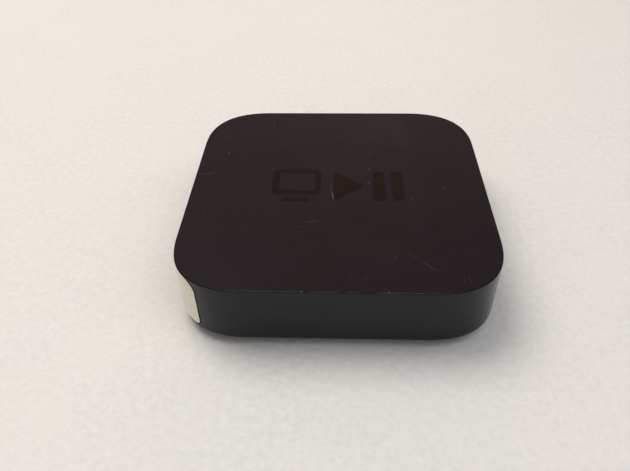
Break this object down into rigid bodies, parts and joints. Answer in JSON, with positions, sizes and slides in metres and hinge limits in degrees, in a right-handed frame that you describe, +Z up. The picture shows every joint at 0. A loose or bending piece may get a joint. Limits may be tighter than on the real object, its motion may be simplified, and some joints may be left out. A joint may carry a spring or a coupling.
{
  "type": "streaming media player",
  "caption": "Palm-sized black streaming box: rounded-square case on a low foot, with mains, video, optical and network sockets behind.",
  "frame": {"origin": "on the standing surface, under the middle of the box", "axes": "+Z up, the front towards -Y, the sockets towards +Y"},
  "size_m": [0.098, 0.098, 0.023],
  "materials": {
    "case_plastic": "moulded black, fine matte on the top face and polished on the side walls",
    "cover_plastic": "moulded, fine spark texture",
    "foot_rubber": "matte",
    "label_paper": "uncoated off-white sticker",
    "socket_plastic": "moulded, satin",
    "contact_nickel": "bright plated",
    "contact_gold": "bright plated",
    "socket_steel": "pressed, tin plated",
    "screw_steel": "zinc plated",
    "shield_tin": "tin plated, satin",
    "board_laminate": "glass epoxy with green solder resist",
    "chip_epoxy": "moulded epoxy, fine matte",
    "connector_nylon": "moulded, satin",
    "spreader_aluminium": "rolled sheet, satin",
    "thermal_silicone": "soft, matte",
    "tray_paper": "insulating sheet",
    "ferrite": "sintered, ground faces",
    "winding_tape": "polyester tape",
    "bobbin_nylon": "moulded, satin",
    "capacitor_sleeve": "shrunk sleeve",
    "capacitor_can": "drawn can",
    "film_box": "moulded box",
    "fuse_ceramic": "unglazed tube",
    "wound_copper": "enamelled winding",
    "antenna_copper": "bare foil",
    "lead_red": "soft insulation",
    "lead_black": "soft insulation",
    "ribbon_film": "polyimide film",
    "clear_plastic": "clear, polished"
  },
  "bodies": {
    "enclosure": {"antenna_cable": "lead_black", "antenna_carrier": "bobbin_nylon", "board_capacitor_1": "capacitor_can", "board_capacitor_2": "capacitor_can", "board_capacitor_3": "capacitor_can", "board_screw_1": "screw_steel", "board_screw_2": "screw_steel", "board_screw_3": "screw_steel", "board_screw_4": "screw_steel", "board_shield": "shield_tin", "bottom_cover": "cover_plastic", "corner_label": "label_paper", "filter_capacitor": "film_box", "flash_memory": "chip_epoxy", "foot_pad": "foot_rubber", "heat_spreader": "spreader_aluminium", "ir_receiver": "chip_epoxy", "light_pipe": "clear_plastic", "logic_board": "board_laminate", "mains_capacitor": "capacitor_sleeve", "mains_choke": "wound_copper", "mains_fuse": "fuse_ceramic", "network_contacts": "contact_gold", "network_housing": "socket_plastic", "network_shield": "socket_steel", "network_transformer": "chip_epoxy", "optical_emitter": "chip_epoxy", "optical_housing": "socket_plastic", "output_capacitor_1": "capacitor_sleeve", "output_capacitor_2": "capacitor_sleeve", "power_board": "board_laminate", "power_controller": "chip_epoxy", "power_inlet_housing": "socket_plastic", "power_inlet_pin_1": "contact_nickel", "power_inlet_pin_2": "contact_nickel", "power_lead_negative": "lead_black", "power_lead_positive": "lead_red", "power_plug": "connector_nylon", "power_screw_1": "screw_steel", "power_screw_2": "screw_steel", "power_socket": "connector_nylon", "power_tray": "tray_paper", "processor": "chip_epoxy", "sensor_board": "board_laminate", "sensor_ribbon": "ribbon_film", "sensor_socket": "connector_nylon", "service_shell": "socket_steel", "service_tongue": "socket_plastic", "shutter_spring": "screw_steel", "status_led": "clear_plastic", "thermal_pad": "thermal_silicone", "transformer_bobbin": "bobbin_nylon", "transformer_core": "ferrite", "transformer_winding": "winding_tape", "upper_case": "case_plastic", "video_shell": "socket_steel", "video_tongue": "socket_plastic", "wifi_antenna": "antenna_copper", "wifi_module": "shield_tin"},
    "shutter": {"optical_shutter": "socket_plastic"}
  },
  "joints": [
    {"name": "shutter_hinge", "type": "hinge", "parent": "enclosure", "child": "shutter", "pos_m": [-0.009, 0.0472, 0.01635], "axis": [-1, 0, 0], "range_deg": [0, 80], "stiffness_Nm_per_rad": 0.00002, "springref_deg": -28.65, "deforming": ["shutter_spring"]}
  ]
}
